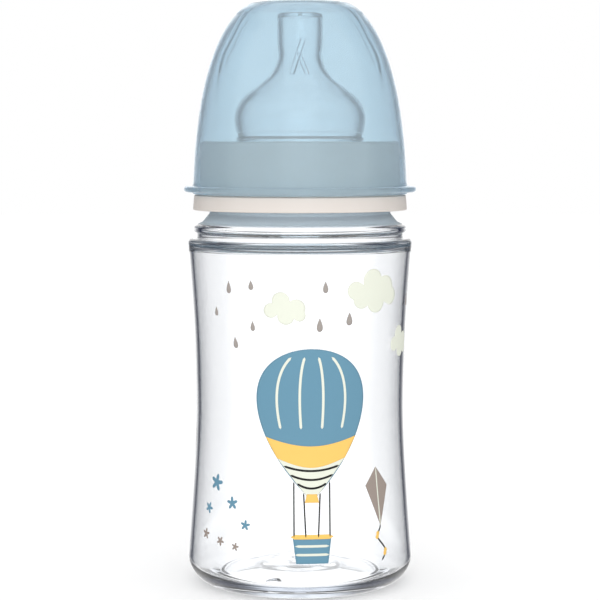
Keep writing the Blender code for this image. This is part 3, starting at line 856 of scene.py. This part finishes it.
class Finish:
    """A material with a Principled shader, over which another may be laid."""

    def __init__(self, name, **values):
        self.material = bpy.data.materials.new(name)
        self.material.use_nodes = True
        self.tree = self.material.node_tree
        self.shader = self.tree.nodes["Principled BSDF"]
        self.set(**values)
        self.place = self.node("ShaderNodeTexCoord", output="Object")
        self.along = [self.node("ShaderNodeSeparateXYZ", {}, self.place, output=axis) for axis in range(3)]

    def set(self, **values):
        for name, value in values.items():
            self.feed(self.shader.inputs[name.replace("_", " ")], value)

    def feed(self, socket, value):
        if isinstance(value, Signal):
            self.tree.links.new(value.socket, socket)
        else:
            socket.default_value = value

    def node(self, kind, settings=None, *values, inputs=None, output=0):
        """Any node: its settings first, then its sockets by order or by name."""
        node = self.tree.nodes.new(kind)
        for name, value in (settings or {}).items():
            setattr(node, name, value)
        for socket, value in zip(node.inputs, values):
            self.feed(socket, value)
        for name, value in (inputs or {}).items():
            self.feed(node.inputs[name], value)
        return Signal(self, node.outputs[output])

    def noise(self, size, detail=2.0, stretch=(1.0, 1.0, 1.0)):
        """Soft random values from 0 to 1 whose lumps are about one size across."""
        place = self.node("ShaderNodeMapping", {}, inputs={"Vector": self.place, "Scale": stretch})
        values = {"Vector": place, "Scale": 1.0 / size, "Detail": detail}
        return self.node("ShaderNodeTexNoise", {}, inputs=values)

    def bump(self, height, depth):
        """Tilts the normal as if the surface rose by this height, in metres."""
        self.set(Normal=self.node("ShaderNodeBump", {}, inputs={"Height": height * depth, "Distance": 1.0}))

    def overlay(self, share, **values):
        """A second Principled shader, laid over the first one by this share."""
        first, output = self.shader, self.tree.nodes["Material Output"]
        self.shader = self.tree.nodes.new("ShaderNodeBsdfPrincipled")
        self.set(**values)
        mix = self.tree.nodes.new("ShaderNodeMixShader")
        for socket, value in zip(mix.inputs, (share, first.outputs[0], self.shader.outputs[0])):
            self.tree.links.new(value.socket if isinstance(value, Signal) else value, socket)
        self.tree.links.new(mix.outputs[0], output.inputs["Surface"])

    def absorb(self, color, density):
        """Colour that deepens along the light's way through the wall."""
        volume = self.tree.nodes.new("ShaderNodeVolumeAbsorption")
        volume.inputs["Color"].default_value = (*color, 1.0)
        volume.inputs["Density"].default_value = density
        output = self.tree.nodes["Material Output"]
        self.tree.links.new(volume.outputs[0], output.inputs["Volume"])


def linear(red, green, blue):
    """A colour from its 0 to 255 screen values: ((c + 0.055) / 1.055)^2.4, and c / 12.92 if very dark."""
    shares = [value / 255 for value in (red, green, blue)]
    return tuple(((c + 0.055) / 1.055) ** 2.4 if c > 0.04 else c / 12.92 for c in shares)


# %% [markdown]
# ## Clear plastic
# The bottle's plastic is nearly colourless. What shows is its refraction, a faint blue in thick places,
# and the slight waviness that a blown wall has. The cone under the ring is fine-etched, so it looks
# frosted, and its blue-grey colour is painted blue light, the light that falls through the tinted cap onto
# the etched plastic. Rough glass alone goes dark at its sides, so a second shader that also scatters is
# laid over it.

# %% Clear bottle
clear = Finish("clear_plastic", Transmission_Weight=1.0, IOR=1.49)
height_in = clear.along[2]
frost_low, frost_high = CONE_BOTTOM + 0.4 * MM, CONE_TOP + 2.0 * MM
above = height_in.between(frost_high, frost_high + 1 * MM)
frost = height_in.between(frost_low, frost_low + 0.3 * MM) * (1.0 - above)
grain = clear.noise(0.35 * MM, 3.0)
waves = clear.noise(9 * MM, 1.0, (1.0, 1.0, 0.35))
tint = clear.noise(20 * MM, 1.0)
clear.set(Roughness=0.004 + 0.006 * grain)
clear.set(Base_Color=tint.mixed((0.985, 0.99, 0.995), (0.98, 0.987, 0.995)))
clear.bump(waves, 0.02 * MM)
clear.absorb((0.60, 0.68, 0.80), 14.0)
clear.overlay(frost, Transmission_Weight=0.5, IOR=1.49)
# The etched band's blue-grey is painted blue light, the light that falls through the tinted cap.
clear.set(Base_Color=grain.mixed(linear(220, 234, 243), linear(206, 222, 233)))
clear.set(Roughness=0.42 + 0.2 * grain)
clear.bump(grain, 0.015 * MM)
bottle.data.materials.append(clear.material)

# %% Silicone
silicone = Finish("clear_silicone", Transmission_Weight=1.0, IOR=1.41)
haze = silicone.noise(1.4 * MM, 3.0)
silicone.set(Roughness=0.03 + 0.04 * haze)
silicone.set(Base_Color=haze.mixed((0.995, 0.995, 1.0), (0.975, 0.985, 0.99)))
silicone.bump(silicone.noise(3 * MM, 2.0), 0.02 * MM)
silicone.absorb((0.6, 0.66, 0.75), 9.0)
teat.data.materials.append(silicone.material)

# %% [markdown]
# ## Ivory and blue plastic
# The ring is a satin ivory with a fine spark-eroded grain. The cap is tinted, and each pass through its
# wall takes out a little more red, so two walls look bluer than one. A thin sheen stands for the milky
# light that such plastic scatters at its edges.

# %% Ivory ring
ivory = Finish("ivory_plastic", IOR=1.49)
fine = ivory.noise(0.22 * MM, 2.0)
cloudy = ivory.noise(7 * MM, 2.0)
ivory.set(Base_Color=cloudy.mixed(linear(207, 200, 194), linear(202, 194, 187)))
ivory.set(Roughness=0.36 + 0.12 * fine)
ivory.bump(fine, 0.008 * MM)
ring.data.materials.append(ivory.material)

# %% Blue cap
blue = Finish("blue_plastic", Transmission_Weight=0.84, IOR=1.3)
blue.set(Sheen_Weight=0.4, Sheen_Roughness=0.45, Sheen_Tint=(0.72, 0.86, 1.0, 1.0))
mottle = blue.noise(12 * MM, 2.0)
blue.set(Base_Color=mottle.mixed((0.715, 0.837, 0.903), (0.705, 0.828, 0.897)))
blue.set(Roughness=0.04 + 0.03 * blue.noise(0.6 * MM, 2.0))
blue.bump(blue.noise(8 * MM, 1.0), 0.03 * MM)
blue.absorb((0.50, 0.733, 0.85), 60.0)
cap.data.materials.append(blue.material)

# %% [markdown]
# ## Inks
# Screen ink is matt and slightly uneven: the mesh of the screen leaves a fine grain in it.

# %% Ink films
INK_COLORS = {
    "blue": (92, 136, 158), "yellow": (231, 187, 96), "cream": (215, 218, 204),
    "taupe": (146, 134, 126), "rain": (150, 143, 138), "black": (10, 10, 11),
}
for ink, screen_color in INK_COLORS.items():
    film = Finish("ink_" + ink, IOR=1.4)
    color = np.array(linear(*screen_color))
    darker, lighter = tuple(color * 0.985), tuple(np.minimum(color * 1.02, 1.0))
    film.set(Base_Color=film.noise(0.5 * MM, 3.0).mixed(darker, lighter))
    film.set(Roughness=0.5 + 0.15 * film.noise(0.3 * MM))
    film.bump(film.noise(0.25 * MM), 0.002 * MM)
    prints[ink].data.materials.append(film.material)

# %% [markdown]
# ## The studio
# Clear plastic has no colour of its own, so its look is the room's. A white room gives white plastic,
# and a tent that is white behind the object and dark to its sides draws the dark lines along its edges,
# as product studios do with glass. The tent is fixed to the camera, so every view gets the same edges.

# %% Camera
CAMERA_PLACE = (0.0, -0.600, 0.1297)
CAMERA_PITCH = math.radians(4.434)
SENSOR = 36.0
LENS = 123.04
camera_data = bpy.data.cameras.new("camera")
camera_data.sensor_width = SENSOR
camera_data.lens = LENS
camera_data.clip_start = 0.01
camera = bpy.data.objects.new("camera", camera_data)
camera.location = CAMERA_PLACE
camera.rotation_euler = Euler((0.5 * math.pi - CAMERA_PITCH, 0.0, 0.0))
bpy.context.scene.collection.objects.link(camera)
bpy.context.scene.camera = camera
print("camera at", CAMERA_PLACE)

# %% Room light
world = bpy.data.worlds.new("white_room")
world.use_nodes = True
world.node_tree.nodes["Background"].inputs["Color"].default_value = (1.0, 1.0, 1.0, 1.0)
world.node_tree.nodes["Background"].inputs["Strength"].default_value = 1.0
bpy.context.scene.world = world
bpy.context.scene.view_settings.view_transform = "Standard"
cycles = bpy.context.scene.cycles
cycles.max_bounces = 32
cycles.transmission_bounces = 32
cycles.glossy_bounces = 8


# %% Floor and tent
def stage_sheet(name, points, faces):
    """A mesh that belongs to the studio, not to the object."""
    mesh = bpy.data.meshes.new(name)
    mesh.from_pydata(points, [], faces)
    sheet = bpy.data.objects.new(name, mesh)
    bpy.context.scene.collection.objects.link(sheet)
    return sheet


FLOOR_HALF = 3.0
FLOOR_CORNERS = ((-1, -1), (1, -1), (1, 1), (-1, 1))
floor_points = [(FLOOR_HALF * x, FLOOR_HALF * y, 0) for x, y in FLOOR_CORNERS]
floor = stage_sheet("floor", floor_points, [(0, 1, 2, 3)])
paper = Finish("pale_paper", Roughness=0.9, Specular_IOR_Level=0.0)
paper.set(Base_Color=paper.noise(30 * MM).mixed((0.80, 0.80, 0.80), (0.78, 0.78, 0.785)))
paper.set(Emission_Color=(1.0, 1.0, 1.0, 1.0), Emission_Strength=0.24)
floor.data.materials.append(paper.material)


TENT_AHEAD = 0.62
TENT_RADIUS = 1.5
TENT_EDGE = math.radians(19.5)


def tent_shade(across, up):
    """How bright the tent is in a direction: 1 / (1 + (across / edge)^6), so white straight ahead and near
    black to the sides, and white again beside the camera, overhead and low down."""
    across = np.abs(across)
    sides = 1.0 - 1.0 / (1.0 + (across / TENT_EDGE) ** 6)
    sides = sides * (1.0 - blend(across, math.radians(88.0), math.radians(112.0)))
    sides = sides * (1.0 - blend(up, math.radians(48.0), math.radians(68.0)))
    sides = sides * (1.0 - blend(-up, math.radians(10.0), math.radians(26.0)))
    return 1.0 - sides


up, across = np.meshgrid(np.linspace(0.5, -0.5, 91) * math.pi, loop(180), indexing="ij")
toward = np.stack([np.cos(up) * np.sin(across), np.sin(up), -np.cos(up) * np.cos(across)], axis=-1)
tent_points = TENT_RADIUS * toward
tent_points[..., 2] -= TENT_AHEAD
points, faces = solid([tent_points])
tent = stage_sheet("light_tent", points.tolist(), faces)
tent.parent = camera
aim = points + np.array([0, 0, TENT_AHEAD])
aim_up = np.arcsin(np.clip(aim[:, 1] / TENT_RADIUS, -1, 1))
shade = tent_shade(np.arctan2(aim[:, 0], -aim[:, 2]), aim_up)[:, None]
NIGHT_BLUE = np.array([[0.004, 0.009, 0.030]])
colors = np.concatenate([shade + (1 - shade) * NIGHT_BLUE, np.ones((len(points), 1))], axis=1)
layer = tent.data.color_attributes.new("shade", "FLOAT_COLOR", "POINT")
layer.data.foreach_set("color", colors.ravel())
cloth = Finish("tent_cloth", Roughness=1.0, Specular_IOR_Level=0.0, Base_Color=(0.0, 0.0, 0.0, 1.0))
painted = cloth.node("ShaderNodeVertexColor", {"layer_name": "shade"})
scattered = cloth.node("ShaderNodeLightPath", output="Diffuse Depth").between(0.4, 0.6)
choices = {"Factor": scattered, 6: painted, 7: (1.0, 1.0, 1.0, 1.0)}
seen = cloth.node("ShaderNodeMix", {"data_type": "RGBA"}, inputs=choices, output=2)
cloth.set(Emission_Color=seen, Emission_Strength=1.2)
tent.data.materials.append(cloth.material)
for kind in ("camera", "diffuse", "shadow", "volume_scatter"):
    setattr(tent, "visible_" + kind, False)
# Plastic must mirror and bend the tent, and not the dark line where the floor ends, so the floor is
# hidden from those rays.
floor.visible_transmission = False
floor.visible_glossy = False
print("the tent has", len(points), "points")

# %% Front light
front_data = bpy.data.lights.new("front_light", "AREA")
front_data.size = 0.5
front_data.energy = 1.6
front_light = bpy.data.objects.new("front_light", front_data)
bpy.context.scene.collection.objects.link(front_light)
front_light.parent = camera
front_light.location = (0.0, 0.1, 0.05)
front_light.visible_glossy = False

# %% Update the scene
bpy.context.view_layer.update()
